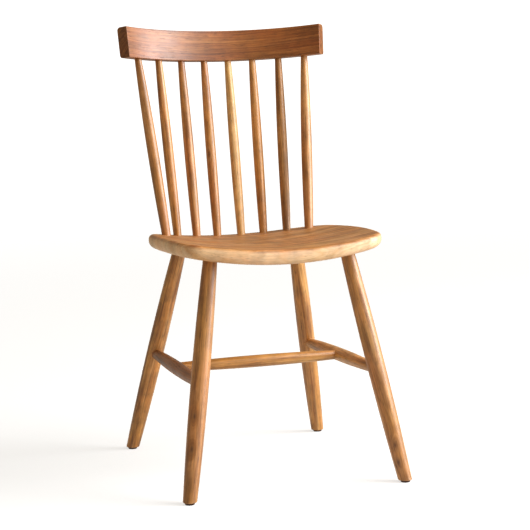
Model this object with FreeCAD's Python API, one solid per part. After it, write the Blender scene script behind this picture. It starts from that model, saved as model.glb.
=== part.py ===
# Spindle-back dining chair in solid wood.
#
# Four turned legs stand in blind bores under a scooped seat that leans back a little,
# and are tied by an H of three turned stretchers. Eight turned spindles stand in the
# seat's back edge and carry a bent crest rail. Each foot has a nailed plastic glide.
#
# Frame: the floor is Z = 0, the chair faces -Y, and the origin is on the floor under
# the middle of the chair's outer box. Millimetres and degrees.
import FreeCAD
import Part
import math
import os

Vec = FreeCAD.Vector

# Seat
SEAT_HEIGHT = 454.4            # sitting face over the floor, in the middle of the chair
SEAT_TILT = 1.25               # degrees that the seat leans back
SEAT_THICKNESS = 28.8          # on the centre line
SEAT_TOP_BEND = 977.0          # radius of the sitting face, which rises to both sides
SEAT_UNDER_BEND = 886.0        # radius of the underside
SEAT_FRONT_Y = -218.6          # front edge, on the centre line
SEAT_TOP_ROUND = 9.5           # rounding of the upper edge
SEAT_UNDER_ROUND = 14.5        # rounding of the lower edge
# Half of the outline, from the middle of the front edge round to the back: the
# radius of each arc and the heading, in degrees, at which the next one takes over.
# The last arc crosses the centre line square, so its radius follows from the others.
FRONT_ARC = (906.0, 10.6)
FRONT_CORNER_ARC = (51.3, 81.4)
SIDE_ARC = (620.0, 103.3)
BACK_CORNER_ARC = (137.4, 157.6)
STOCK_HALF_WIDTH = 240.0       # the scooped stock that the seat's outline is sawn from
STOCK_HALF_LENGTH = 300.0

# Legs: where the axis meets the floor and the seat's underside
FRONT_FOOT = (216.3, -252.5)
FRONT_HEAD = (138.5, -158.2)
REAR_FOOT = (209.6, 226.9)
REAR_HEAD = (125.3, 110.4)
LEG_FOOT_RADIUS = 13.3
LEG_HEAD_RADIUS = 13.8
LEG_SWELL = 3.8                # how far the middle stands proud of a straight taper
LEG_NECK = 5.5                 # straight stretch outside the seat, so no shoulder shows
LEG_TENON = 18.0               # length inside the seat
LEG_FOOT_CHAMFER = 1.2
LEG_SPARE = 20.0               # turned beyond the floor and sawn off level

# Stretchers
STRETCHER_FRONT_Z = 216.0      # where a side stretcher's axis meets a front leg's
STRETCHER_REAR_Z = 211.5
SIDE_STRETCHER_RADIUS = 10.0   # where it meets the legs
SIDE_STRETCHER_SWELL = 3.6
CENTRE_STRETCHER_RADIUS = 9.5  # where it meets the side stretchers
CENTRE_STRETCHER_SWELL = 2.7
CENTRE_STRETCHER_SHARE = 0.49  # place along the side stretchers, from the rear leg
SIDE_STRETCHER_PAST_AXIS = 6.0     # how far a tenon reaches past the leg's axis
CENTRE_STRETCHER_PAST_AXIS = 3.5   # the same in a side stretcher
STRETCHER_NECK = 2.5

# Crest rail: a board bent to an arc in a plane that climbs towards the front
CREST_BASE_Y = 229.2           # lower front edge, on the centre line
CREST_BASE_Z = 815.0
CREST_BEND = 337.5             # radius of the front face
CREST_HALF_WIDTH = 206.8       # of the front face half-way up, straight across
CREST_HEIGHT = 63.5
CREST_THICKNESS = 24.5
CREST_RAKE = 11.8              # backward lean of the faces
CREST_CLIMB = 8.9              # slope of the bend's plane
CREST_END_SLANT = 3.3          # how far the ends slant outwards as they rise
CREST_STOCK_ANGLE = 44.0       # how far round the bend the stock reaches before its ends are sawn
CREST_OFFCUT_LENGTH = 60.0     # room for what is sawn off beyond each end
CREST_BACK_ROUND = 7.0
CREST_ARRIS = 1.2

# Spindles, from the middle outwards: the outer pair is turned a little stouter
SPINDLE_FOOT_X = (26.1, 73.1, 119.1, 153.8)
SPINDLE_FOOT_Y = (170.5, 163.3, 146.1, 103.7)
SPINDLE_HEAD_X = (26.2, 78.0, 131.0, 180.8)
SPINDLE_FOOT_RADIUS = (8.3, 8.3, 8.3, 8.9)
SPINDLE_SWELL = (2.8, 2.8, 2.8, 3.3)
SPINDLE_HEAD_RADIUS = 7.0
SPINDLE_NECK = 3.0
SPINDLE_FOOT_TENON = 18.0      # length inside the seat
SPINDLE_HEAD_TENON = 26.0      # length inside the crest rail

# Joints
TENON_CHAMFER = 1.2
GLUE_FILM = 0.05               # between a tenon and the wall of its bore
BORE_RUN_OUT = 14.0            # how far a boring tool is drawn outside the surface

# Glides
GLIDE_RADIUS = 9.2
GLIDE_THICKNESS = 4.0
GLIDE_ROUND = 1.2
NAIL_RADIUS = 1.1
NAIL_LENGTH = 16.0             # from the underside of the head to the point
NAIL_POINT = 3.0
NAIL_HEAD_RADIUS = 3.6
NAIL_HEAD_THICKNESS = 1.0
NAIL_HEAD_DEPTH = 1.5          # plastic left under the nail's head

# How far an edge may lie from where it is looked for, when edges are picked for rounding
EDGE_TOLERANCE = 0.5


def rise(bend_radius, x):
    """Height of an upward-curving arc above its lowest point, x to one side."""
    return bend_radius - math.sqrt(bend_radius ** 2 - x ** 2)


def seat_lean(y):
    """How much higher the leaning seat is at y than in the middle of the chair."""
    return -math.tan(math.radians(SEAT_TILT)) * y


def seat_top_z(x, y):
    """Height of the sitting face at a place."""
    return SEAT_HEIGHT + rise(SEAT_TOP_BEND, x) + seat_lean(y)


def seat_under_z(x, y):
    """Height of the seat's underside at a place."""
    return SEAT_HEIGHT - SEAT_THICKNESS + rise(SEAT_UNDER_BEND, x) + seat_lean(y)


def along(start, end, distance):
    """Point at a distance from start on the line towards end."""
    return start + (end - start).normalize() * distance


def place_on_axis(shape, start, end):
    """Move a shape made on the Z axis so that Z runs from start towards end."""
    turn = FreeCAD.Rotation(Vec(0, 0, 1), end - start)
    shape.Placement = FreeCAD.Placement(start, turn)
    return shape


def open_outline(points):
    """Straight edges from each point to the next."""
    return [Part.LineSegment(a, b).toShape() for a, b in zip(points, points[1:])]


def revolve_profile(edges):
    """Solid of revolution about Z from edges in the XZ plane."""
    face = Part.Face(Part.Wire(edges))
    return face.revolve(Vec(0, 0, 0), Vec(0, 0, 1), 360)


def tenon_end(radius, tip_z, inner_z):
    """Profile points of a straight tenon, from its chamfered tip to its inner end."""
    step = TENON_CHAMFER if inner_z > tip_z else -TENON_CHAMFER
    return [Vec(0, 0, tip_z), Vec(radius - TENON_CHAMFER, 0, tip_z),
            Vec(radius, 0, tip_z + step), Vec(radius, 0, inner_z)]


def turned_stick(start, end, radii, swell, tenons, neck):
    """A barrel-shaped turning whose ends run straight into their bores.

    start and end are where the axis meets the two surfaces that the stick stands in,
    radii are those of its two ends, and tenons are its lengths beyond those points.
    The swell is a parabola: one quadratic curve whose middle pole stands out twice
    as far as the curve itself.
    """
    length = (end - start).Length
    first = tenon_end(radii[0], -tenons[0], neck)
    last = tenon_end(radii[1], length + tenons[1], length - neck)
    belly = Part.BezierCurve()
    middle_pole = Vec(sum(radii) / 2 + 2 * swell, 0, length / 2)
    belly.setPoles([first[-1], middle_pole, last[-1]])
    edges = open_outline(first) + [belly.toShape()] + open_outline(last[::-1] + [first[0]])
    return place_on_axis(revolve_profile(edges), start, end)


def bore(mouth, inside, radius, depth):
    """The space that a boring tool takes out: from outside the mouth to a flat end."""
    direction = (inside - mouth).normalize()
    return Part.makeCylinder(radius + GLUE_FILM, depth + BORE_RUN_OUT,
                             mouth - direction * BORE_RUN_OUT, direction)


def mirrored(shape):
    """The same shape on the other side of the chair's middle plane."""
    return shape.mirror(Vec(0, 0, 0), Vec(1, 0, 0))


def seat_outline():
    """The seat seen from above, as one closed wire of arcs that run into each other."""
    corners = [Vec(0, SEAT_FRONT_Y, 0)]
    middles = []
    heading = 0.0
    for radius, next_heading in (FRONT_ARC, FRONT_CORNER_ARC, SIDE_ARC, BACK_CORNER_ARC):
        corners.append(arc_step(corners[-1], radius, heading, next_heading))
        middles.append(arc_step(corners[-2], radius, heading, (heading + next_heading) / 2))
        heading = next_heading
    back_radius = corners[-1].x / math.sin(math.radians(heading))
    back_middle = arc_step(corners[-1], back_radius, heading, 180.0)
    edges = [three_point_arc(flipped(corners[1]), corners[0], corners[1])]
    for start, middle, end in zip(corners[1:], middles[1:], corners[2:]):
        edges.append(three_point_arc(start, middle, end))
        edges.append(three_point_arc(flipped(start), flipped(middle), flipped(end)))
    edges.append(three_point_arc(corners[-1], back_middle, flipped(corners[-1])))
    return Part.Wire(Part.__sortEdges__(edges))


def arc_step(start, radius, heading, next_heading):
    """End of a left-turning arc that leaves start on one heading and ends on another."""
    first = math.radians(heading)
    last = math.radians(next_heading)
    return start + Vec(radius * (math.sin(last) - math.sin(first)),
                       radius * (math.cos(first) - math.cos(last)), 0)


def three_point_arc(start, middle, end):
    """Edge of the circular arc through three points."""
    return Part.Arc(start, middle, end).toShape()


def flipped(point):
    """The same point on the other side of the middle plane."""
    return Vec(-point.x, point.y, point.z)


def scooped_stock():
    """The stock that the seat is sawn from: bent up to both sides and leaning back."""
    half = STOCK_HALF_WIDTH
    front = -STOCK_HALF_LENGTH
    under = [Vec(x, front, seat_under_z(x, front)) for x in (-half, 0, half)]
    top = [Vec(x, front, seat_top_z(x, front)) for x in (half, 0, -half)]
    edges = [three_point_arc(*under), Part.LineSegment(under[2], top[0]).toShape(),
             three_point_arc(*top), Part.LineSegment(top[2], under[0]).toShape()]
    length = 2 * STOCK_HALF_LENGTH
    return Part.Face(Part.Wire(edges)).extrude(Vec(0, length, seat_lean(length)))


def edges_at_height(shape, height_at):
    """Edges whose ends both lie on the face that height_at gives the height of."""
    return [edge for edge in shape.Edges
            if all(abs(end.Z - height_at(end.X, end.Y)) < EDGE_TOLERANCE for end in edge.Vertexes)]


def make_seat(bores):
    """The scooped seat with rounded edges and a blind bore for each leg and spindle."""
    column = Part.Face(seat_outline()).extrude(Vec(0, 0, 2 * SEAT_HEIGHT))
    seat = column.common(scooped_stock()).Solids[0]
    seat = seat.makeFillet(SEAT_TOP_ROUND, edges_at_height(seat, seat_top_z))
    seat = seat.makeFillet(SEAT_UNDER_ROUND, edges_at_height(seat, seat_under_z))
    return seat.cut(bores).Solids[0]


def crest_point(angle, depth):
    """Point on the crest rail's lower face: degrees round the bend, depth behind the front."""
    turn = math.radians(angle)
    radius = CREST_BEND + depth
    forward = CREST_BEND - radius * math.cos(turn)
    climb = math.radians(CREST_CLIMB)
    return Vec(radius * math.sin(turn), CREST_BASE_Y - forward * math.cos(climb),
               CREST_BASE_Z + forward * math.sin(climb))


def spindle_ends(index):
    """Where a spindle's axis meets the seat and the crest rail, on the +X side."""
    foot_x = SPINDLE_FOOT_X[index]
    foot_y = SPINDLE_FOOT_Y[index]
    foot = Vec(foot_x, foot_y, seat_top_z(foot_x, foot_y))
    middle_radius = CREST_BEND + CREST_THICKNESS / 2
    angle = math.degrees(math.asin(SPINDLE_HEAD_X[index] / middle_radius))
    return foot, crest_point(angle, CREST_THICKNESS / 2)


def up_the_crest():
    """The way up the crest rail's faces, which lean back."""
    rake = math.radians(CREST_RAKE)
    return Vec(0, math.sin(rake), math.cos(rake))


def crest_depth(point):
    """How far a point lies behind the crest rail's front face."""
    centre = crest_point(0, -CREST_BEND)
    climb = math.radians(CREST_CLIMB)
    square = Vec(0, math.sin(climb), math.cos(climb))
    up = up_the_crest()
    height = (point - centre).dot(square) / up.dot(square)
    return (point - centre - up * height).Length - CREST_BEND


def crest_offcut():
    """What is sawn off beyond the crest rail's +X end, square through the board but slanting."""
    angle = math.degrees(math.asin(CREST_HALF_WIDTH / CREST_BEND))
    corner = crest_point(angle, 0)
    up = up_the_crest()
    backwards = (crest_point(angle, CREST_THICKNESS) - corner).normalize()
    outwards = backwards.cross(up).normalize()
    slant = math.radians(CREST_END_SLANT)
    slanting_up = up * math.cos(slant) + outwards * math.sin(slant)
    across_the_cut = backwards.cross(slanting_up).normalize()
    turn = FreeCAD.Rotation(across_the_cut, backwards, across_the_cut.cross(backwards), "XYZ")
    width = 2 * CREST_HEIGHT
    offcut = Part.makeBox(CREST_OFFCUT_LENGTH, width, width, Vec(0, -width / 2, -width / 2))
    offcut.Placement = FreeCAD.Placement(corner + up * CREST_HEIGHT / 2, turn)
    return offcut


def edges_of_length(shape, length):
    """Edges of a shape that are as long as asked."""
    return [edge for edge in shape.Edges if abs(edge.Length - length) < EDGE_TOLERANCE]


def make_crest_rail(bores):
    """The bent crest rail with rounded back edges, slanting ends and the spindles' bores."""
    reach = CREST_STOCK_ANGLE
    front = [crest_point(angle, 0) for angle in (-reach, 0, reach)]
    back = [crest_point(angle, CREST_THICKNESS) for angle in (reach, 0, -reach)]
    edges = [three_point_arc(*front), Part.LineSegment(front[2], back[0]).toShape(),
             three_point_arc(*back), Part.LineSegment(back[2], front[0]).toShape()]
    rail = Part.Face(Part.Wire(edges)).extrude(up_the_crest() * CREST_HEIGHT)
    back_length = 2 * math.radians(reach) * (CREST_BEND + CREST_THICKNESS)
    rail = rail.makeFillet(CREST_BACK_ROUND, edges_of_length(rail, back_length))
    offcut = crest_offcut()
    rail = rail.cut([offcut, mirrored(offcut)]).Solids[0]
    front_edges = [edge for edge in rail.Edges
                   if all(abs(crest_depth(end.Point)) < EDGE_TOLERANCE for end in edge.Vertexes)]
    rail = rail.makeFillet(CREST_ARRIS, front_edges)
    return rail.cut(bores).Solids[0]


def leg_ends(foot, head):
    """Where a leg's axis meets the floor and the seat's underside, on the +X side."""
    return Vec(foot[0], foot[1], 0), Vec(head[0], head[1], seat_under_z(head[0], head[1]))


def point_at_height(start, end, z):
    """Point on the line from start to end at height z."""
    return start + (end - start) * ((z - start.z) / (end.z - start.z))


def stick_radius(radii, swell, share):
    """Radius of a turned stick at a share of its length."""
    return radii[0] + (radii[1] - radii[0]) * share + 4 * swell * share * (1 - share)


def make_leg(foot, head, bores):
    """A turned leg, sawn level above its glide and bored for the stretcher and nail."""
    leg = turned_stick(foot, head, (LEG_FOOT_RADIUS, LEG_HEAD_RADIUS), LEG_SWELL,
                       (LEG_SPARE, LEG_TENON), LEG_NECK)
    width = 4 * LEG_FOOT_RADIUS
    depth = 2 * LEG_SPARE
    corner = Vec(foot.x - width / 2, foot.y - width / 2, GLIDE_THICKNESS - depth)
    leg = leg.cut(Part.makeBox(width, width, depth, corner))
    sole = edges_at_height(leg, lambda x, y: GLIDE_THICKNESS)
    leg = leg.makeChamfer(LEG_FOOT_CHAMFER, sole)
    return leg.cut(bores).Solids[0]


def side_stretcher_ends(rear_axis, front_axis):
    """Where a side stretcher's axis leaves the rear leg and enters the front one."""
    rear = point_at_height(*rear_axis, STRETCHER_REAR_Z)
    front = point_at_height(*front_axis, STRETCHER_FRONT_Z)
    leg_radius = stick_radius((LEG_FOOT_RADIUS, LEG_HEAD_RADIUS), LEG_SWELL,
                              STRETCHER_FRONT_Z / front_axis[1].z)
    return along(rear, front, leg_radius), along(front, rear, leg_radius), leg_radius


def make_glide(centre):
    """A plastic glide moulded round its nail's head."""
    body = Part.makeCylinder(GLIDE_RADIUS, GLIDE_THICKNESS, centre)
    lower_rim = edges_at_height(body, lambda x, y: centre.z)
    return body.makeFillet(GLIDE_ROUND, lower_rim).cut(make_nail(centre)).Solids[0]


def make_nail(centre):
    """A glide's nail, point upwards, with its head inside the plastic."""
    under_head = NAIL_HEAD_DEPTH + NAIL_HEAD_THICKNESS
    shank_end = under_head + NAIL_LENGTH - NAIL_POINT
    points = [Vec(0, 0, NAIL_HEAD_DEPTH), Vec(NAIL_HEAD_RADIUS, 0, NAIL_HEAD_DEPTH),
              Vec(NAIL_HEAD_RADIUS, 0, under_head), Vec(NAIL_RADIUS, 0, under_head),
              Vec(NAIL_RADIUS, 0, shank_end), Vec(0, 0, shank_end + NAIL_POINT)]
    nail = revolve_profile(open_outline(points + [points[0]]))
    nail.translate(centre)
    return nail


def both_sides(nodes, left_name, right_name, right_shape):
    """Store a part that is made on the +X side, which is the sitter's left, and its twin."""
    nodes[left_name] = right_shape
    nodes[right_name] = mirrored(right_shape)


def build():
    """Every piece of the chair, by name."""
    nodes = {}
    front_axis = leg_ends(FRONT_FOOT, FRONT_HEAD)
    rear_axis = leg_ends(REAR_FOOT, REAR_HEAD)

    # The seat, with the bores for the legs and the spindles on both sides
    seat_bores = [bore(head, along(head, foot, -1), LEG_HEAD_RADIUS, LEG_TENON)
                  for foot, head in (front_axis, rear_axis)]
    crest_bores = []
    spindles = []
    for index in range(len(SPINDLE_FOOT_X)):
        foot, head = spindle_ends(index)
        radii = (SPINDLE_FOOT_RADIUS[index], SPINDLE_HEAD_RADIUS)
        seat_bores.append(bore(foot, along(foot, head, -1), radii[0], SPINDLE_FOOT_TENON))
        crest_bores.append(bore(head, along(head, foot, -1), radii[1], SPINDLE_HEAD_TENON))
        spindles.append(turned_stick(foot, head, radii, SPINDLE_SWELL[index],
                                     (SPINDLE_FOOT_TENON, SPINDLE_HEAD_TENON), SPINDLE_NECK))
    nodes["seat"] = make_seat(seat_bores + [mirrored(tool) for tool in seat_bores])
    nodes["crest_rail"] = make_crest_rail(crest_bores + [mirrored(tool) for tool in crest_bores])

    # Spindles are numbered from -X to +X
    for index, spindle in enumerate(spindles):
        both_sides(nodes, f"spindle_{len(spindles) + 1 + index}", f"spindle_{len(spindles) - index}",
                   spindle)

    # Side stretchers and the centre one, which stands in the bellies of the side ones
    rear_face, front_face, leg_radius = side_stretcher_ends(rear_axis, front_axis)
    side_radii = (SIDE_STRETCHER_RADIUS, SIDE_STRETCHER_RADIUS)
    side_tenon = leg_radius + SIDE_STRETCHER_PAST_AXIS
    side_stretcher = turned_stick(rear_face, front_face, side_radii, SIDE_STRETCHER_SWELL,
                                  (side_tenon, side_tenon), STRETCHER_NECK)
    meeting = rear_face + (front_face - rear_face) * CENTRE_STRETCHER_SHARE
    belly_radius = stick_radius(side_radii, SIDE_STRETCHER_SWELL, CENTRE_STRETCHER_SHARE)
    centre_face = meeting - Vec(belly_radius, 0, 0)
    centre_tenon = belly_radius + CENTRE_STRETCHER_PAST_AXIS
    centre_bore = bore(centre_face, meeting, CENTRE_STRETCHER_RADIUS, centre_tenon)
    both_sides(nodes, "left_side_stretcher", "right_side_stretcher",
               side_stretcher.cut(centre_bore).Solids[0])
    nodes["centre_stretcher"] = turned_stick(flipped(centre_face), centre_face,
                                             (CENTRE_STRETCHER_RADIUS, CENTRE_STRETCHER_RADIUS),
                                             CENTRE_STRETCHER_SWELL, (centre_tenon, centre_tenon),
                                             STRETCHER_NECK)

    # Legs, glides and nails
    nails = []
    legs = (("front", front_axis, front_face, rear_face), ("rear", rear_axis, rear_face, front_face))
    for name, (foot, head), near_face, far_face in legs:
        sole = point_at_height(foot, head, GLIDE_THICKNESS / 2)
        glide_base = Vec(sole.x, sole.y, 0)
        nail = make_nail(glide_base)
        stretcher_bore = bore(near_face, along(near_face, far_face, -1), SIDE_STRETCHER_RADIUS,
                              side_tenon)
        both_sides(nodes, f"{name}_left_leg", f"{name}_right_leg",
                   make_leg(foot, head, [stretcher_bore, nail]))
        both_sides(nodes, f"{name}_left_glide", f"{name}_right_glide", make_glide(glide_base))
        nails += [nail, mirrored(nail)]
    nodes["glide_nails"] = Part.makeCompound(nails)
    return nodes


def centre_on_floor(nodes):
    """Slide the chair so that the origin is under the middle of its outer box."""
    box = Part.makeCompound(list(nodes.values())).optimalBoundingBox(False, False)
    for shape in nodes.values():
        shape.translate(Vec(0, -(box.YMin + box.YMax) / 2, 0))
    return box


os.makedirs("parts", exist_ok=True)
chair = build()
outer_box = centre_on_floor(chair)
print("outer box", round(outer_box.XLength, 2), round(outer_box.YLength, 2), round(outer_box.ZLength, 2))
for node_name, node_shape in chair.items():
    if not node_shape.isValid():
        print("not valid:", node_name)
    node_shape.exportStep(os.path.join("parts", node_name + ".step"))
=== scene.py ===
"""Finishes, studio and camera for a spindle-back dining chair in satin-lacquered acacia.

The frame's solids already have the chair's real shape, so they are kept. What is made here
is the wood: every stick, the seat and the crest rail get their own piece of timber, with
the grain laid along that piece as it was sawn, turned or bent.
"""

import logging
import math
from dataclasses import dataclass, field
from enum import Enum

import bpy
import numpy as np
from mathutils import Matrix, Vector

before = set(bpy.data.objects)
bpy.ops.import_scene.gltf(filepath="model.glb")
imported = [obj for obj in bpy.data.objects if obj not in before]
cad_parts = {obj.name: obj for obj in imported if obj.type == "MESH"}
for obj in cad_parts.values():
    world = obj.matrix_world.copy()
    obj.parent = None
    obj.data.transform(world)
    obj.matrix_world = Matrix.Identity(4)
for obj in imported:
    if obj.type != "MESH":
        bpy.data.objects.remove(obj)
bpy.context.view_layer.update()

MM = 0.001

log = logging.getLogger("chair")


def linear(hex_colour: str) -> tuple[float, float, float, float]:
    """Turns an sRGB colour into the linear one that a shader takes.

    Args:
        hex_colour: Six hex digits after a hash.

    Returns:
        Red, green, blue and an alpha of one.
    """
    channels = [int(hex_colour[i:i + 2], 16) / 255 for i in (1, 3, 5)]
    red, green, blue = [
        c / 12.92 if c <= 0.04045 else ((c + 0.055) / 1.055) ** 2.4 for c in channels
    ]
    return red, green, blue, 1.0


def add(
    tree: bpy.types.NodeTree,
    kind: str,
    inputs: dict | None = None,
    settings: dict | None = None,
    stops: tuple = (),
) -> bpy.types.Node:
    """Adds one node with its settings, values and links.

    Args:
        tree: The node tree that gets the node.
        kind: The node's type name without its ShaderNode prefix.
        inputs: What goes into the sockets, by name or number: a value, or an output to link.
        settings: The node's own properties, by name.
        stops: Positions and colours of a colour ramp.

    Returns:
        The new node.
    """
    node = tree.nodes.new("ShaderNode" + kind)
    for name, value in (settings or {}).items():
        setattr(node, name, value)
    for socket, value in (inputs or {}).items():
        if isinstance(value, bpy.types.NodeSocket):
            tree.links.new(value, node.inputs[socket])
        else:
            node.inputs[socket].default_value = value
    if stops:
        ramp = node.color_ramp
        while len(ramp.elements) < len(stops):
            ramp.elements.new(1.0)
        for element, (position, colour) in zip(ramp.elements, stops):
            element.position = position
            element.color = colour
    return node


def new_material(name: str) -> tuple[bpy.types.Material, bpy.types.Node]:
    """Makes an empty node material.

    Args:
        name: The material's name.

    Returns:
        The material and its Principled shader, linked to the output.
    """
    material = bpy.data.materials.new(name)
    material.use_nodes = True
    material.node_tree.nodes.clear()
    shader = add(material.node_tree, "BsdfPrincipled")
    add(material.node_tree, "OutputMaterial", {"Surface": shader.outputs[0]})
    return material, shader


def dress(node_name: str, material: bpy.types.Material) -> None:
    """Gives a solid of the frame its material and reports it.

    Args:
        node_name: The solid's name in the frame.
        material: What it is made of.
    """
    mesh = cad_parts[node_name].data
    mesh.materials.clear()
    mesh.materials.append(material)
    log.info("%s: %s", node_name, material.name)


class Tone(Enum):
    """Colours of one board of acacia: late wood, mid wood, early wood and heartwood streaks."""

    HONEY = ("#bf8a4a", "#dcae70", "#eecb98", "#a06c30")
    AMBER = ("#a56a2c", "#c98f4c", "#e0b074", "#7c4a18")
    TAN = ("#9c6530", "#c0864a", "#d9a874", "#75471c")
    UMBER = ("#8a5a28", "#b07e44", "#c89a62", "#64401a")
    COPPER = ("#96592c", "#c28446", "#dfae7a", "#74411e")
    WALNUT = ("#74401c", "#985c2a", "#b87a44", "#502a10")


class Sawing(Enum):
    """How a blank was sawn from the log: where the pith lies beside it, in millimetres."""

    FLAT = (14.0, 95.0)
    RIFT = (75.0, 70.0)
    QUARTER = (130.0, 18.0)


@dataclass(frozen=True)
class Knot:
    """A pin knot: where it lies in its piece's grain axes and its size, in millimetres."""

    along: float
    across: float
    over: float
    radius: float


@dataclass(frozen=True)
class Pattern:
    """A cloudy variation in the wood or its lacquer, most often drawn out along the grain.

    Attributes:
        size_mm: Length, width and thickness of one cloud.
        detail: How many finer layers it has.
        shift: Sets it apart from the other patterns of one board.
    """

    size_mm: tuple[float, float, float]
    detail: float
    shift: float


@dataclass(frozen=True)
class StraightGrain:
    """Grain along a straight blank.

    Attributes:
        start: A point on the blank's axis.
        direction: The way of the grain.
    """

    start: Vector
    direction: Vector

    def coordinates(self, tree: bpy.types.NodeTree) -> bpy.types.NodeSocket:
        """Places of the surface in the blank: millimetres along, across and over the grain.

        Args:
            tree: The material's node tree.

        Returns:
            A vector output.
        """
        square = self.direction.to_track_quat("X", "Z").to_matrix()
        place = add(tree, "TexCoord")
        mapping = {"Vector": place.outputs["Object"], "Location": self.start,
                   "Rotation": square.to_euler(), "Scale": (MM, MM, MM)}
        return add(tree, "Mapping", mapping, {"vector_type": "TEXTURE"}).outputs[0]

    def end_grain(self, tree: bpy.types.NodeTree) -> bpy.types.NodeSocket:
        """How far the surface cuts across the fibres: 0 along them and 1 on a sawn end.

        Args:
            tree: The material's node tree.

        Returns:
            A value output.
        """
        normal = add(tree, "TexCoord").outputs["Normal"]
        across = add(tree, "VectorMath", {0: normal, 1: self.direction},
                     {"operation": "DOT_PRODUCT"})
        return add(tree, "Math", {0: across.outputs["Value"]},
                   {"operation": "ABSOLUTE"}).outputs[0]


@dataclass(frozen=True)
class BentGrain:
    """Grain that follows a board round its bend.

    Attributes:
        centre: The middle of the bend.
        axis: What the board bends round.
        radius: Of the bend, in metres.
    """

    centre: Vector
    axis: Vector
    radius: float

    def coordinates(self, tree: bpy.types.NodeTree) -> bpy.types.NodeSocket:
        """Places of the surface in the board as it was before it was bent, in millimetres.

        Args:
            tree: The material's node tree.

        Returns:
            A vector output.
        """
        place = add(tree, "TexCoord")
        side = Vector((1.0, 0.0, 0.0))
        turn = Matrix((side, self.axis.cross(side), self.axis)).transposed()
        mapping = {"Vector": place.outputs["Object"], "Location": self.centre,
                   "Rotation": turn.to_euler(), "Scale": (MM, MM, MM)}
        level = add(tree, "Mapping", mapping, {"vector_type": "TEXTURE"})
        parts = add(tree, "SeparateXYZ", {0: level.outputs[0]})
        angle = add(tree, "Math", {0: parts.outputs["X"], 1: parts.outputs["Y"]},
                    {"operation": "ARCTAN2"})
        along = add(tree, "Math", {0: angle.outputs[0], 1: self.radius / MM},
                    {"operation": "MULTIPLY"})
        flat = add(tree, "VectorMath", {0: level.outputs[0], 1: (1.0, 1.0, 0.0)},
                   {"operation": "MULTIPLY"})
        reach = add(tree, "VectorMath", {0: flat.outputs[0]}, {"operation": "LENGTH"})
        across = add(tree, "Math", {0: reach.outputs["Value"], 1: self.radius / MM},
                     {"operation": "SUBTRACT"})
        return add(tree, "CombineXYZ", {"X": along.outputs[0], "Y": across.outputs[0],
                                        "Z": parts.outputs["Z"]}).outputs[0]

    def end_grain(self, tree: bpy.types.NodeTree) -> bpy.types.NodeSocket:
        """How far the surface cuts across the fibres: 0 along them and 1 on a sawn end.

        Args:
            tree: The material's node tree.

        Returns:
            A value output.
        """
        place = add(tree, "TexCoord")
        outward = add(tree, "VectorMath", {0: place.outputs["Object"], 1: self.centre},
                      {"operation": "SUBTRACT"})
        fibre = add(tree, "VectorMath", {0: self.axis, 1: outward.outputs[0]},
                    {"operation": "CROSS_PRODUCT"})
        way = add(tree, "VectorMath", {0: fibre.outputs[0]}, {"operation": "NORMALIZE"})
        across = add(tree, "VectorMath", {0: place.outputs["Normal"], 1: way.outputs[0]},
                     {"operation": "DOT_PRODUCT"})
        return add(tree, "Math", {0: across.outputs["Value"]},
                   {"operation": "ABSOLUTE"}).outputs[0]


@dataclass(frozen=True)
class ScoopedGrain:
    """Grain from side to side in layers that follow the seat's scoop and lean.

    Attributes:
        top: The sitting face in the middle of the seat.
        bend_mm: Radius of the scoop.
        lean_deg: How far the seat leans back.
    """

    top: Vector
    bend_mm: float
    lean_deg: float

    def coordinates(self, tree: bpy.types.NodeTree) -> bpy.types.NodeSocket:
        """Places of the surface: millimetres along and across the grain and over the top face.

        Args:
            tree: The material's node tree.

        Returns:
            A vector output.
        """
        place = add(tree, "TexCoord")
        level = add(tree, "Mapping", {"Vector": place.outputs["Object"], "Location": self.top,
                                      "Scale": (MM, MM, MM)}, {"vector_type": "TEXTURE"})
        parts = add(tree, "SeparateXYZ", {0: level.outputs[0]})
        # The scoop has risen by nearly x squared over twice its radius.
        square = add(tree, "Math", {0: parts.outputs["X"], 1: parts.outputs["X"]},
                     {"operation": "MULTIPLY"})
        flat = add(tree, "Math", {0: square.outputs[0], 1: -0.5 / self.bend_mm,
                                  2: parts.outputs["Z"]}, {"operation": "MULTIPLY_ADD"})
        layer = add(tree, "Math", {0: parts.outputs["Y"], 1: math.tan(math.radians(self.lean_deg)),
                                   2: flat.outputs[0]}, {"operation": "MULTIPLY_ADD"})
        return add(tree, "CombineXYZ", {"X": parts.outputs["X"], "Y": parts.outputs["Y"],
                                        "Z": layer.outputs[0]}).outputs[0]

    def end_grain(self, tree: bpy.types.NodeTree) -> bpy.types.NodeSocket:
        """How far the surface cuts across the fibres: 0 along them and 1 on a sawn end.

        Args:
            tree: The material's node tree.

        Returns:
            A value output.
        """
        normal = add(tree, "TexCoord").outputs["Normal"]
        parts = add(tree, "SeparateXYZ", {0: normal})
        return add(tree, "Math", {0: parts.outputs["X"]}, {"operation": "ABSOLUTE"}).outputs[0]


@dataclass(frozen=True)
class Sapwood:
    """The log's pale outer wood, which a board can have on its lower side.

    Attributes:
        depth_mm: How far under the upper face it starts.
        fade_mm: Over what height the colour changes.
        wave_mm: How far its border strays up and down.
        early: Its light bands.
        late: Its darker bands.
    """

    depth_mm: float = 2.0
    fade_mm: float = 6.0
    wave_mm: float = 9.0
    early: str = "#ecc8a0"
    late: str = "#dcaa76"


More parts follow.
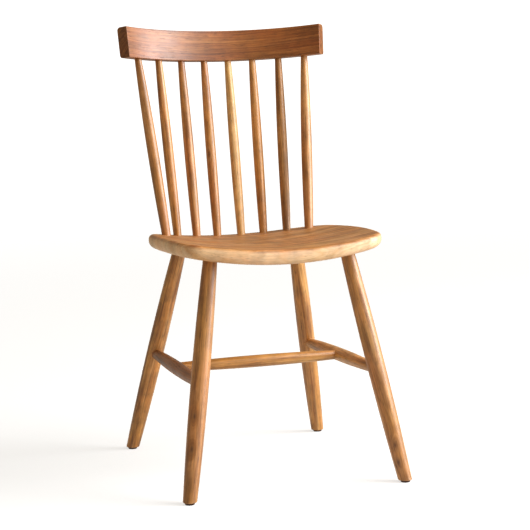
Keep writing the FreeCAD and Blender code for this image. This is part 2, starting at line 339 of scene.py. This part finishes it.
@dataclass(frozen=True)
class LacqueredAcacia:
    """Solid acacia, sanded smooth and sprayed with satin lacquer.

    It gives the eye uneven growth bands from straw to dark brown, flame-like heartwood
    streaks, short dark pores and a soft sheen that turns pale where it mirrors the window.

    Attributes:
        tone: The board's colours.
        sawing: How the blank lay in the log.
        seed: Picks this board's own pattern.
        knots: Its pin knots.
        ring_mm: Width of a growth band.
        wander_mm: How far the bands stray sideways.
        streak_share: Strength of the heartwood streaks.
        mottle: Strength of the cloudy light and dark.
        sapwood: The pale wood on its lower side, if it has any.
        figure: Strength of the fibres and pores.
        end_share: How much darker a sawn end looks, from 0 to 1.
        roughness: Of the sealed wood under the lacquer.
        coat_roughness: Of the lacquer.
        coat_weight: How thick the lacquer lies, from 0 to 1.
    """

    tone: Tone
    sawing: Sawing
    seed: float
    knots: tuple[Knot, ...] = ()
    ring_mm: float = 4.5
    wander_mm: float = 9.0
    streak_share: float = 0.6
    mottle: float = 0.12
    sapwood: Sapwood | None = None
    figure: float = 1.0
    end_share: float = 0.55
    roughness: float = 0.4
    coat_roughness: float = 0.42
    coat_weight: float = 0.6

    # Real fibres and pores are finer than 0.5 mm. Both are drawn as coarse as they need to be
    # to show at two millimetres to a pixel.
    FIBRES = Pattern((48.0, 1.9, 1.9), 3.0, 5.0)
    PORES = Pattern((15.0, 1.7, 1.7), 1.0, 23.0)
    STREAKS = Pattern((150.0, 11.0, 11.0), 3.0, 11.0)
    CLOUDS = Pattern((26.0, 44.0, 44.0), 2.0, 41.0)
    HUE_DRIFT = Pattern((130.0, 38.0, 38.0), 2.0, 53.0)
    BAND_WANDER = Pattern((190.0, 45.0, 45.0), 2.0, 3.0)
    SAPWOOD_BORDER = Pattern((150.0, 30.0, 30.0), 2.0, 17.0)
    HANDLING = Pattern((60.0, 60.0, 60.0), 2.0, 31.0)
    PATTERN_ROUGHNESS = 0.55
    # How far apart two boards' patterns lie along the grain, and how many times that across it.
    SEED_STEP = 7.31
    SEED_SKEW = 1.7

    # The part of a noise's values that a colour or a gloss runs over.
    CLOUD_SPAN = (0.3, 0.7)
    BAND_SPAN = (0.28, 0.72)
    STREAK_SPAN = (0.47, 0.64)
    PORE_SPAN = (0.61, 0.71)

    BAND_LENGTH_MM = 420.0
    BAND_DETAIL = 4.0
    BAND_ROUGHNESS = 0.65
    MID_WOOD_PLACE = 0.45
    EARLY_SAPWOOD_PLACE = 0.8
    HUE_SPAN = (0.495, 0.506)
    FIBRE_DARKENING = 0.24
    FIBRE_LIGHTENING = 0.18
    PORE_SHARE = 0.65
    PORE_SHADE = 0.45

    # A knot's spots are so much longer than wide. It pushes the bands aside by so many of its
    # radii, over such a reach, and its halo and its core each have a reach and a strength.
    KNOT_STRETCH = 2.0
    KNOT_DETOUR = 1.5
    KNOT_DETOUR_REACH = 2.2
    KNOT_HALO = (1.5, 0.55)
    KNOT_CORE = (0.6, 0.6)
    KNOT_COLOUR = "#4a2410"

    # How square the fibres meet the surface where a sawn end starts and where it is full.
    END_SPAN = (0.5, 0.95)
    END_SHADE = 0.6

    EDGE_MM = 2.2
    EDGE_SAMPLES = 6
    # How well the softened normal agrees with the real one, on the flat and on an arris.
    EDGE_SPAN = (0.985, 0.9)
    # How much paler an arris is painted: partly wear, partly a painted highlight.
    EDGE_WEAR_AND_HIGHLIGHT = 0.5
    EDGE_DULLNESS = 0.12

    # How much glossier and duller than its roughness the sealed wood is from place to place.
    GLOSSIER = 0.06
    DULLER = 0.08
    PORE_DULLNESS = 0.25
    LACQUER_IOR = 1.55
    RELIEF_MM = 0.12
    RELIEF_STRENGTH = 0.5

    def noise(
        self,
        tree: bpy.types.NodeTree,
        place: bpy.types.NodeSocket,
        pattern: Pattern,
    ) -> bpy.types.Node:
        """One of the board's cloudy patterns.

        Args:
            tree: The material's node tree.
            place: Coordinates in millimetres.
            pattern: Which one.

        Returns:
            The noise node.
        """
        offset = self.seed * self.SEED_STEP + pattern.shift
        mapped = add(tree, "Mapping", {"Vector": place,
                                       "Location": (offset, offset * self.SEED_SKEW, -offset),
                                       "Scale": tuple(1 / size for size in pattern.size_mm)})
        return add(tree, "TexNoise", {"Vector": mapped.outputs[0], "Scale": 1.0,
                                      "Detail": pattern.detail, "Roughness": self.PATTERN_ROUGHNESS})

    def swirl(
        self, tree: bpy.types.NodeTree, place: bpy.types.NodeSocket, knot: Knot, spread: float
    ) -> bpy.types.NodeSocket:
        """A soft spot round a knot, drawn out along the grain.

        Args:
            tree: The material's node tree.
            place: Coordinates in millimetres.
            knot: Where it is and how large.
            spread: The spot's size in knot radii.

        Returns:
            A value output: 1 in the middle and 0 far away.
        """
        size = knot.radius * spread
        centre = (knot.along, knot.across, knot.over)
        mapped = add(tree, "Mapping", {"Vector": place, "Location": centre,
                                       "Scale": (size * self.KNOT_STRETCH, size, size)},
                     {"vector_type": "TEXTURE"})
        reach = add(tree, "VectorMath", {0: mapped.outputs[0], 1: mapped.outputs[0]},
                    {"operation": "DOT_PRODUCT"})
        falling = add(tree, "Math", {0: reach.outputs["Value"], 1: -1.0}, {"operation": "MULTIPLY"})
        return add(tree, "Math", {0: math.e, 1: falling.outputs[0]}, {"operation": "POWER"}).outputs[0]

    def growth_bands(
        self, tree: bpy.types.NodeTree, place: bpy.types.NodeSocket
    ) -> bpy.types.NodeSocket:
        """Growth bands round the log's pith, straying sideways and parting round the knots.

        Args:
            tree: The material's node tree.
            place: Coordinates in millimetres.

        Returns:
            A value output from late wood, 0, to early wood, 1.
        """
        across, over = self.sawing.value
        from_pith = add(tree, "Mapping", {"Vector": place, "Location": (0.0, across, over),
                                          "Scale": (0.0, 1.0, 1.0)})
        radius = add(tree, "VectorMath", {0: from_pith.outputs[0]}, {"operation": "LENGTH"})
        stray = self.noise(tree, place, self.BAND_WANDER)
        bent = add(tree, "Math", {0: stray.outputs[0], 1: self.wander_mm * 2,
                                  2: radius.outputs["Value"]}, {"operation": "MULTIPLY_ADD"})
        for knot in self.knots:
            spot = self.swirl(tree, place, knot, self.KNOT_DETOUR_REACH)
            bent = add(tree, "Math", {0: spot, 1: knot.radius * self.KNOT_DETOUR, 2: bent.outputs[0]},
                       {"operation": "MULTIPLY_ADD"})
        parts = add(tree, "SeparateXYZ", {0: place})
        ring = add(tree, "Math", {0: bent.outputs[0], 1: self.ring_mm}, {"operation": "DIVIDE"})
        along = add(tree, "Math", {0: parts.outputs["X"], 1: self.BAND_LENGTH_MM},
                    {"operation": "DIVIDE"})
        unrolled = add(tree, "CombineXYZ", {"X": along.outputs[0], "Y": ring.outputs[0],
                                            "Z": self.seed})
        bands = add(tree, "TexNoise", {"Vector": unrolled.outputs[0], "Scale": 1.0,
                                       "Detail": self.BAND_DETAIL,
                                       "Roughness": self.BAND_ROUGHNESS})
        return add(tree, "MapRange", {"Value": bands.outputs[0], "From Min": self.BAND_SPAN[0],
                                      "From Max": self.BAND_SPAN[1]}).outputs[0]

    def timber(
        self, tree: bpy.types.NodeTree, place: bpy.types.NodeSocket
    ) -> bpy.types.NodeSocket:
        """The board's colour before its fibres and pores: bands, sapwood, streaks and mottle.

        Args:
            tree: The material's node tree.
            place: Coordinates in millimetres.

        Returns:
            A colour output.
        """
        late, mid, early, heart = (linear(colour) for colour in self.tone.value)
        bands = self.growth_bands(tree, place)
        colour = add(tree, "ValToRGB", {0: bands},
                     stops=((0.0, late), (self.MID_WOOD_PLACE, mid), (1.0, early)))
        streaks = self.noise(tree, place, self.STREAKS)
        flame = add(tree, "MapRange", {"Value": streaks.outputs[0], "From Min": self.STREAK_SPAN[0],
                                       "From Max": self.STREAK_SPAN[1],
                                       "To Max": self.streak_share})
        colour = add(tree, "MixRGB", {0: flame.outputs[0], 1: colour.outputs[0], 2: heart})
        if self.sapwood:
            pale = add(tree, "ValToRGB", {0: bands},
                       stops=((0.0, linear(self.sapwood.late)),
                              (self.EARLY_SAPWOOD_PLACE, linear(self.sapwood.early))))
            stray = self.noise(tree, place, self.SAPWOOD_BORDER)
            height = add(tree, "SeparateXYZ", {0: place})
            layer = add(tree, "Math", {0: stray.outputs[0], 1: self.sapwood.wave_mm,
                                       2: height.outputs["Z"]}, {"operation": "MULTIPLY_ADD"})
            start = self.sapwood.wave_mm / 2 - self.sapwood.depth_mm
            share = add(tree, "MapRange", {"Value": layer.outputs[0], "From Min": start,
                                           "From Max": start - self.sapwood.fade_mm})
            colour = add(tree, "MixRGB", {0: share.outputs[0], 1: colour.outputs[0],
                                          2: pale.outputs[0]})
        low, high = self.CLOUD_SPAN
        cloud = self.noise(tree, place, self.CLOUDS)
        light = add(tree, "MapRange", {"Value": cloud.outputs[0], "From Min": low, "From Max": high,
                                       "To Min": 1 - self.mottle, "To Max": 1 + self.mottle})
        drift = self.noise(tree, place, self.HUE_DRIFT)
        hue = add(tree, "MapRange", {"Value": drift.outputs[0], "From Min": low, "From Max": high,
                                     "To Min": self.HUE_SPAN[0], "To Max": self.HUE_SPAN[1]})
        return add(tree, "HueSaturation", {"Color": colour.outputs[0], "Hue": hue.outputs[0],
                                           "Value": light.outputs[0]}).outputs[0]

    def worn_and_highlit_edges(self, tree: bpy.types.NodeTree) -> bpy.types.NodeSocket:
        """Where the arrises are painted paler: partly wear where the lacquer is thin, partly a painted
        highlight along each edge.

        Args:
            tree: The material's node tree.

        Returns:
            A value output: 0 on the flat and 1 on an arris.
        """
        softened = add(tree, "Bevel", {"Radius": self.EDGE_MM * MM}, {"samples": self.EDGE_SAMPLES})
        normal = add(tree, "TexCoord").outputs["Normal"]
        same = add(tree, "VectorMath", {0: softened.outputs[0], 1: normal},
                   {"operation": "DOT_PRODUCT"})
        return add(tree, "MapRange", {"Value": same.outputs["Value"],
                                      "From Min": self.EDGE_SPAN[0],
                                      "From Max": self.EDGE_SPAN[1]}).outputs[0]

    def knotted(
        self, tree: bpy.types.NodeTree, place: bpy.types.NodeSocket, colour: bpy.types.NodeSocket
    ) -> bpy.types.NodeSocket:
        """Darkens the wood in and round its knots.

        Args:
            tree: The material's node tree.
            place: Coordinates in millimetres.
            colour: The wood's colour without its knots.

        Returns:
            A colour output.
        """
        rings = ((*self.KNOT_HALO, linear(self.tone.value[3])),
                 (*self.KNOT_CORE, linear(self.KNOT_COLOUR)))
        for knot in self.knots:
            for reach, strength, tint in rings:
                spot = self.swirl(tree, place, knot, reach)
                share = add(tree, "Math", {0: spot, 1: strength}, {"operation": "MULTIPLY"})
                colour = add(tree, "MixRGB", {0: share.outputs[0], 1: colour, 2: tint}).outputs[0]
        return colour

    def material(
        self, name: str, grain: StraightGrain | BentGrain | ScoopedGrain
    ) -> bpy.types.Material:
        """Makes this board's material.

        Args:
            name: The material's name.
            grain: How the grain lies in the piece.

        Returns:
            The material.
        """
        material, shader = new_material(name)
        tree = material.node_tree
        place = grain.coordinates(tree)
        early = linear(self.tone.value[2])
        low, high = self.CLOUD_SPAN

        fibres = self.noise(tree, place, self.FIBRES)
        shade = add(tree, "MapRange", {"Value": fibres.outputs[0], "From Min": low, "From Max": high,
                                       "To Min": 1 - self.FIBRE_DARKENING * self.figure,
                                       "To Max": 1 + self.FIBRE_LIGHTENING * self.figure})
        pores = self.noise(tree, place, self.PORES)
        pore = add(tree, "MapRange", {"Value": pores.outputs[0], "From Min": self.PORE_SPAN[0],
                                      "From Max": self.PORE_SPAN[1],
                                      "To Max": self.PORE_SHARE * self.figure})
        colour = add(tree, "VectorMath", {0: self.timber(tree, place), "Scale": shade.outputs[0]},
                     {"operation": "SCALE"})
        dark = add(tree, "VectorMath", {0: colour.outputs[0], "Scale": self.PORE_SHADE},
                   {"operation": "SCALE"})
        colour = add(tree, "MixRGB", {0: pore.outputs[0], 1: colour.outputs[0],
                                      2: dark.outputs[0]})
        wood = self.knotted(tree, place, colour.outputs[0])

        cut = add(tree, "MapRange", {"Value": grain.end_grain(tree), "From Min": self.END_SPAN[0],
                                     "From Max": self.END_SPAN[1], "To Max": self.end_share})
        dark = add(tree, "VectorMath", {0: wood, "Scale": self.END_SHADE}, {"operation": "SCALE"})
        colour = add(tree, "MixRGB", {0: cut.outputs[0], 1: wood, 2: dark.outputs[0]})
        # The arrises are painted paler, partly as wear and partly as a painted highlight along each
        # edge; their duller gloss is wear.
        edge_wear_and_highlight = self.worn_and_highlit_edges(tree)
        pale = add(tree, "Math", {0: edge_wear_and_highlight, 1: self.EDGE_WEAR_AND_HIGHLIGHT}, {"operation": "MULTIPLY"})
        colour = add(tree, "MixRGB", {0: pale.outputs[0], 1: colour.outputs[0], 2: early})
        tree.links.new(colour.outputs[0], shader.inputs["Base Color"])

        handling = self.noise(tree, place, self.HANDLING)
        gloss = add(tree, "MapRange", {"Value": handling.outputs[0], "From Min": low,
                                       "From Max": high, "To Min": self.roughness - self.GLOSSIER,
                                       "To Max": self.roughness + self.DULLER})
        dulled = add(tree, "Math", {0: pore.outputs[0], 1: self.PORE_DULLNESS, 2: gloss.outputs[0]},
                     {"operation": "MULTIPLY_ADD"})
        rough = add(tree, "Math", {0: edge_wear_and_highlight, 1: self.EDGE_DULLNESS, 2: dulled.outputs[0]},
                    {"operation": "MULTIPLY_ADD"})
        tree.links.new(rough.outputs[0], shader.inputs["Roughness"])
        shader.inputs["IOR"].default_value = self.LACQUER_IOR
        shader.inputs["Coat Weight"].default_value = self.coat_weight
        shader.inputs["Coat Roughness"].default_value = self.coat_roughness
        shader.inputs["Coat IOR"].default_value = self.LACQUER_IOR

        relief = add(tree, "Math", {0: fibres.outputs[0], 1: pore.outputs[0]},
                     {"operation": "SUBTRACT"})
        bump = add(tree, "Bump", {"Strength": self.RELIEF_STRENGTH,
                                  "Distance": self.RELIEF_MM * MM, "Height": relief.outputs[0]})
        tree.links.new(bump.outputs[0], shader.inputs["Normal"])
        return material


@dataclass(frozen=True)
class MouldedPolyethylene:
    """Injection-moulded polyethylene, spark-textured: dull, dark and faintly scuffed.

    Attributes:
        colour: Of the fresh plastic.
        scuff: Of its scuffed patches.
        grit_mm: Size of the texture's grains.
        patch_mm: Size of a scuffed patch.
    """

    colour: str = "#4a2f20"
    scuff: str = "#6b4c39"
    # A real spark texture is finer. It is drawn coarser, so that it shows at all.
    grit_mm: float = 0.8
    patch_mm: float = 9.0

    SCUFF_SPAN = (0.5, 0.75)
    ROUGHNESS_SPAN = (0.5, 0.75)
    IOR = 1.51
    RELIEF_MM = 0.05
    RELIEF_STRENGTH = 0.4

    def material(self, name: str) -> bpy.types.Material:
        """Makes the plastic's material.

        Args:
            name: The material's name.

        Returns:
            The material.
        """
        material, shader = new_material(name)
        tree = material.node_tree
        place = add(tree, "TexCoord")
        grit = add(tree, "TexNoise", {"Vector": place.outputs["Object"], "Detail": 2.0,
                                      "Scale": 1 / (self.grit_mm * MM)})
        rubbed = add(tree, "TexNoise", {"Vector": place.outputs["Object"], "Detail": 3.0,
                                        "Scale": 1 / (self.patch_mm * MM)})
        patch = add(tree, "MapRange", {"Value": rubbed.outputs[0], "From Min": self.SCUFF_SPAN[0],
                                       "From Max": self.SCUFF_SPAN[1]})
        colour = add(tree, "MixRGB", {0: patch.outputs[0], 1: linear(self.colour),
                                      2: linear(self.scuff)})
        tree.links.new(colour.outputs[0], shader.inputs["Base Color"])
        gloss = add(tree, "MapRange", {"Value": grit.outputs[0], "To Min": self.ROUGHNESS_SPAN[0],
                                       "To Max": self.ROUGHNESS_SPAN[1]})
        tree.links.new(gloss.outputs[0], shader.inputs["Roughness"])
        shader.inputs["IOR"].default_value = self.IOR
        bump = add(tree, "Bump", {"Strength": self.RELIEF_STRENGTH,
                                  "Distance": self.RELIEF_MM * MM, "Height": grit.outputs[0]})
        tree.links.new(bump.outputs[0], shader.inputs["Normal"])
        return material


@dataclass(frozen=True)
class ZincPlatedSteel:
    """Drawn wire with a bright zinc plating: pale blue-grey with fine draw marks.

    Attributes:
        colour: Of the plating.
        mark_colour: Of the draw marks.
        mark_mm: Their width.
        mark_ratio: Their length in widths.
    """

    colour: str = "#b9bcc0"
    mark_colour: str = "#8d9298"
    # Real draw marks are finer. They are drawn coarser, so that a close look finds them.
    mark_mm: float = 0.3
    mark_ratio: float = 20.0

    ROUGHNESS_SPAN = (0.22, 0.42)

    def material(self, name: str) -> bpy.types.Material:
        """Makes the steel's material.

        Args:
            name: The material's name.

        Returns:
            The material.
        """
        material, shader = new_material(name)
        tree = material.node_tree
        place = add(tree, "TexCoord")
        per_mark = 1 / (self.mark_mm * MM)
        drawn = add(tree, "Mapping", {"Vector": place.outputs["Object"],
                                      "Scale": (per_mark, per_mark, per_mark / self.mark_ratio)})
        marks = add(tree, "TexNoise", {"Vector": drawn.outputs[0], "Scale": 1.0, "Detail": 2.0})
        gloss = add(tree, "MapRange", {"Value": marks.outputs[0], "To Min": self.ROUGHNESS_SPAN[0],
                                       "To Max": self.ROUGHNESS_SPAN[1]})
        tree.links.new(gloss.outputs[0], shader.inputs["Roughness"])
        colour = add(tree, "MixRGB", {0: marks.outputs[0], 1: linear(self.colour),
                                      2: linear(self.mark_colour)})
        tree.links.new(colour.outputs[0], shader.inputs["Base Color"])
        shader.inputs["Metallic"].default_value = 1.0
        return material


def stick_axis(node_name: str) -> tuple[Vector, Vector]:
    """Finds a turned stick's axis from its solid.

    Args:
        node_name: The stick's name in the frame.

    Returns:
        The stick's middle and its direction, with the end that stands higher or further
        towards +X or +Y ahead.
    """
    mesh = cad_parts[node_name].data
    places = np.empty(len(mesh.vertices) * 3, np.float32)
    mesh.vertices.foreach_get("co", places)
    places = places.reshape(-1, 3).astype(float)
    middle = (places.min(0) + places.max(0)) / 2
    main = np.linalg.svd(places - places.mean(0), full_matrices=False)[2][0]
    return Vector(middle), Vector(main * np.sign(main.sum()))


@dataclass
class Sticks:
    """A set of turned sticks, such as the spindles, or the legs with their stretchers.

    Attributes:
        boards: The wood of each stick, by its name in the frame.
    """

    boards: dict[str, LacqueredAcacia]

    def build(self) -> None:
        """Lays each stick's grain along its axis and dresses it."""
        for node_name, board in self.boards.items():
            middle, direction = stick_axis(node_name)
            grain = StraightGrain(middle, direction)
            dress(node_name, board.material(f"lacquered_acacia_{node_name}", grain))


@dataclass
class Seat:
    """The scooped seat: a wide blank with its grain from side to side and sapwood below.

    Attributes:
        sitting_face: The sitting face in the middle of the chair.
        bend_mm: Radius of the scoop.
        lean_deg: How far the seat leans back.
        board: Its wood.
    """

    sitting_face: Vector = field(default_factory=lambda: Vector((0.0, 0.0, 0.4544)))
    bend_mm: float = 977.0
    lean_deg: float = 1.25
    board: LacqueredAcacia = LacqueredAcacia(
        Tone.COPPER, Sawing.FLAT, 2.7, ring_mm=6.0, wander_mm=26.0, streak_share=0.72, mottle=0.16,
        sapwood=Sapwood(), figure=0.6, end_share=0.0, roughness=0.46, coat_roughness=0.5,
        coat_weight=0.35,
    )

    def build(self) -> None:
        """Lays the grain along X in scooped layers and dresses the seat."""
        grain = ScoopedGrain(self.sitting_face, self.bend_mm, self.lean_deg)
        dress("seat", self.board.material("lacquered_acacia_seat", grain))


@dataclass
class CrestRail:
    """The bent crest rail.

    Attributes:
        bend_mm: Radius of its front face.
        bend_centre: The middle of that bend.
        rake_deg: How far the faces lean back.
        board: Its wood.
    """

    bend_mm: float = 337.5
    bend_centre: Vector = field(default_factory=lambda: Vector((0.0, -0.1042, 0.8672)))
    rake_deg: float = 11.8
    board: LacqueredAcacia = LacqueredAcacia(
        Tone.WALNUT, Sawing.RIFT, 5.3, ring_mm=3.2, wander_mm=6.0, streak_share=0.4,
        roughness=0.42, coat_roughness=0.26, coat_weight=0.3,
    )

    def build(self) -> None:
        """Wraps the grain round the bend and dresses the rail."""
        rake = math.radians(self.rake_deg)
        axis = Vector((0.0, math.sin(rake), math.cos(rake)))
        grain = BentGrain(self.bend_centre, axis, self.bend_mm * MM)
        dress("crest_rail", self.board.material("lacquered_acacia_crest_rail", grain))


@dataclass
class Glides:
    """The plastic glides under the feet and the nails that hold them."""

    plastic: MouldedPolyethylene = MouldedPolyethylene()
    steel: ZincPlatedSteel = ZincPlatedSteel()

    def build(self) -> None:
        """Dresses the glides and their nails."""
        plastic = self.plastic.material("moulded_polyethylene")
        for corner in ("front_left", "front_right", "rear_left", "rear_right"):
            dress(f"{corner}_glide", plastic)
        dress("glide_nails", self.steel.material("zinc_plated_steel"))


@dataclass
class Studio:
    """A pale floor, a tall window to the chair's left, a weak bounce card in front and room light.

    Attributes:
        window_way: From the chair towards the window, level.
        window_distance: Of the window and of the card, in metres.
        window_size: Width and height of the light.
        window_height: Of the middle of the window and of the card, over the floor.
        window_power: In watts.
        card_way: From the chair towards the card, level.
        card_size: Width and height of the card.
        card_power: In watts.
        aim_height: Height on the chair that both are turned to.
        lamp_colour: Of both.
        room_light: Strength of the light from all round.
        room_colour: Of that light.
        floor_radius: Of the floor.
        floor_sides: How many sides its rim has.
        floor_colour: Of its paint.
        floor_clearness: How much of the background shows through near the chair.
        floor_glow: Strength of the light that the floor itself gives off.
        fade_start: How far from the middle it starts to fade.
        fade_end_share: Where it has faded away, as a share of its radius.
    """

    window_way: Vector = field(default_factory=lambda: Vector((0.905, -0.425, 0.0)))
    window_distance: float = 2.6
    window_size: tuple[float, float] = (1.8, 3.0)
    window_height: float = 1.8
    window_power: float = 134.0
    card_way: Vector = field(default_factory=lambda: Vector((0.454, -0.891, 0.0)))
    card_size: tuple[float, float] = (1.6, 2.2)
    card_power: float = 11.0
    aim_height: float = 0.55
    lamp_colour: str = "#f8faff"
    room_light: float = 0.33
    room_colour: str = "#fff2dc"
    floor_radius: float = 14.0
    floor_sides: int = 96
    floor_colour: str = "#f2f2f0"
    floor_clearness: float = 0.5
    floor_glow: float = 0.12
    fade_start: float = 1.2
    fade_end_share: float = 0.6

    def build(self) -> None:
        """Makes the floor and the lights."""
        self.make_floor()
        self.make_lamp("window", self.window_way, self.window_size, self.window_power)
        self.make_lamp("bounce_card", self.card_way, self.card_size, self.card_power)
        self.make_room_light()

    def make_floor(self) -> None:
        """Makes a round pale floor that fades into the white background."""
        mesh = bpy.data.meshes.new("floor")
        corners = [(math.cos(a) * self.floor_radius, math.sin(a) * self.floor_radius, 0.0)
                   for a in (2 * math.pi * k / self.floor_sides for k in range(self.floor_sides))]
        mesh.from_pydata(corners, [], [range(self.floor_sides)])
        floor = bpy.data.objects.new("floor", mesh)
        bpy.context.scene.collection.objects.link(floor)
        # Matt paint gives the eye soft contact shadows and no mirror image of the chair.
        material = bpy.data.materials.new("matt_white_paint")
        material.use_nodes = True
        tree = material.node_tree
        tree.nodes.clear()
        place = add(tree, "TexCoord")
        reach = add(tree, "VectorMath", {0: place.outputs["Object"]}, {"operation": "LENGTH"})
        fade = add(tree, "MapRange", {"Value": reach.outputs["Value"], "From Min": self.fade_start,
                                      "From Max": self.floor_radius * self.fade_end_share,
                                      "To Min": self.floor_clearness})
        paint = add(tree, "BsdfDiffuse", {"Color": linear(self.floor_colour)})
        lift = add(tree, "Emission", {"Color": linear("#ffffff"), "Strength": self.floor_glow})
        lit = add(tree, "AddShader", {0: paint.outputs[0], 1: lift.outputs[0]})
        clear = add(tree, "BsdfTransparent")
        mixed = add(tree, "MixShader", {0: fade.outputs[0], 1: lit.outputs[0],
                                        2: clear.outputs[0]})
        add(tree, "OutputMaterial", {"Surface": mixed.outputs[0]})
        mesh.materials.append(material)
        log.info("floor")

    def make_lamp(
        self, name: str, way: Vector, size: tuple[float, float], power: float
    ) -> None:
        """Makes a tall soft light that is turned to the middle of the chair.

        Args:
            name: What it stands for.
            way: From the chair towards it, level.
            size: Its width and height.
            power: In watts.
        """
        light = bpy.data.lights.new(name, "AREA")
        light.shape = "RECTANGLE"
        light.size, light.size_y = size
        light.energy = power
        light.color = linear(self.lamp_colour)[:3]
        lamp = bpy.data.objects.new(name, light)
        lamp.location = way.normalized() * self.window_distance
        lamp.location.z = self.window_height
        aim = Vector((0.0, 0.0, self.aim_height)) - lamp.location
        lamp.rotation_euler = aim.to_track_quat("-Z", "Y").to_euler()
        bpy.context.scene.collection.objects.link(lamp)
        log.info("%s light", name)

    def make_room_light(self) -> None:
        """Makes the soft light from all round, before a white background."""
        world = bpy.data.worlds.new("room")
        bpy.context.scene.world = world
        world.use_nodes = True
        tree = world.node_tree
        tree.nodes.clear()
        soft = add(tree, "Background", {"Color": linear(self.room_colour),
                                        "Strength": self.room_light})
        seen = add(tree, "Background", {"Color": linear("#ffffff"), "Strength": 1.0})
        ray = add(tree, "LightPath")
        mixed = add(tree, "MixShader", {0: ray.outputs["Is Camera Ray"], 1: soft.outputs[0],
                                        2: seen.outputs[0]})
        add(tree, "OutputWorld", {"Surface": mixed.outputs[0]})
        log.info("room light")


@dataclass
class PhotoCamera:
    """The camera where the photograph was taken from.

    Attributes:
        location: In the chair's frame, in metres.
        yaw_deg: Turn to the right of looking along +Y.
        pitch_deg: Tilt above the level.
        roll_deg: Turn about the line of sight.
        lens_mm: Focal length.
        sensor_mm: Width of the image behind the lens.
        sight: How far the camera sees, in metres.
    """

    location: tuple[float, float, float] = (-0.9843, -3.0917, 0.8060)
    yaw_deg: float = 18.027
    pitch_deg: float = -7.034
    roll_deg: float = -1.187
    lens_mm: float = 110.66
    sensor_mm: float = 36.0
    sight: float = 100.0

    def build(self) -> None:
        """Makes the camera and sets it as the scene's."""
        data = bpy.data.cameras.new("photo_camera")
        data.sensor_width = self.sensor_mm
        data.lens = self.lens_mm
        data.clip_end = self.sight
        camera = bpy.data.objects.new("photo_camera", data)
        yaw, pitch, roll = (math.radians(a) for a in (self.yaw_deg, self.pitch_deg, self.roll_deg))
        turn = (Matrix.Rotation(-yaw, 4, "Z") @ Matrix.Rotation(math.pi / 2 + pitch, 4, "X")
                @ Matrix.Rotation(roll, 4, "Z"))
        camera.matrix_world = Matrix.Translation(self.location) @ turn
        bpy.context.scene.collection.objects.link(camera)
        bpy.context.scene.camera = camera
        log.info("camera")


def write_sizes() -> None:
    """Brings the scene's evaluated data up to date."""
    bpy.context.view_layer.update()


def main() -> None:
    """Builds the studio and dresses the chair, piece by piece."""
    logging.basicConfig(level=logging.INFO, format="%(message)s")
    bpy.context.scene.view_settings.view_transform = "Standard"
    bpy.context.scene.view_settings.look = "Medium High Contrast"
    Studio().build()
    PhotoCamera().build()
    Seat().build()
    CrestRail().build()
    Sticks({
        "spindle_1": LacqueredAcacia(Tone.TAN, Sawing.RIFT, 1.1),
        "spindle_2": LacqueredAcacia(Tone.AMBER, Sawing.QUARTER, 2.2),
        "spindle_3": LacqueredAcacia(Tone.TAN, Sawing.FLAT, 3.3),
        "spindle_4": LacqueredAcacia(Tone.TAN, Sawing.RIFT, 4.4, (Knot(-16.5, 6.8, 7.3, 4.0),)),
        "spindle_5": LacqueredAcacia(Tone.HONEY, Sawing.QUARTER, 5.5, streak_share=0.3),
        "spindle_6": LacqueredAcacia(Tone.AMBER, Sawing.QUARTER, 6.9, streak_share=0.3),
        "spindle_7": LacqueredAcacia(Tone.UMBER, Sawing.RIFT, 7.7),
        "spindle_8": LacqueredAcacia(Tone.TAN, Sawing.RIFT, 8.8),
    }).build()
    Sticks({
        "front_left_leg": LacqueredAcacia(
            Tone.TAN, Sawing.RIFT, 11.0, (Knot(-166.2, 14.4, 4.6, 4.0), Knot(-200.0, 14.0, 2.3, 4.5)),
        ),
        "front_right_leg": LacqueredAcacia(
            Tone.TAN, Sawing.FLAT, 12.0, (Knot(-79.2, -2.4, 16.1, 4.5), Knot(-139.8, -1.9, 15.0, 5.0)),
        ),
        "rear_left_leg": LacqueredAcacia(
            Tone.AMBER, Sawing.RIFT, 13.0, (Knot(-221.2, -10.4, -10.6, 5.0),)),
        "rear_right_leg": LacqueredAcacia(Tone.AMBER, Sawing.FLAT, 14.0, streak_share=0.8, mottle=0.2),
        "left_side_stretcher": LacqueredAcacia(Tone.AMBER, Sawing.RIFT, 15.0),
        "right_side_stretcher": LacqueredAcacia(Tone.WALNUT, Sawing.FLAT, 16.0, coat_weight=0.5),
        "centre_stretcher": LacqueredAcacia(Tone.AMBER, Sawing.FLAT, 17.0),
    }).build()
    Glides().build()
    write_sizes()


if __name__ == "__main__":
    main()
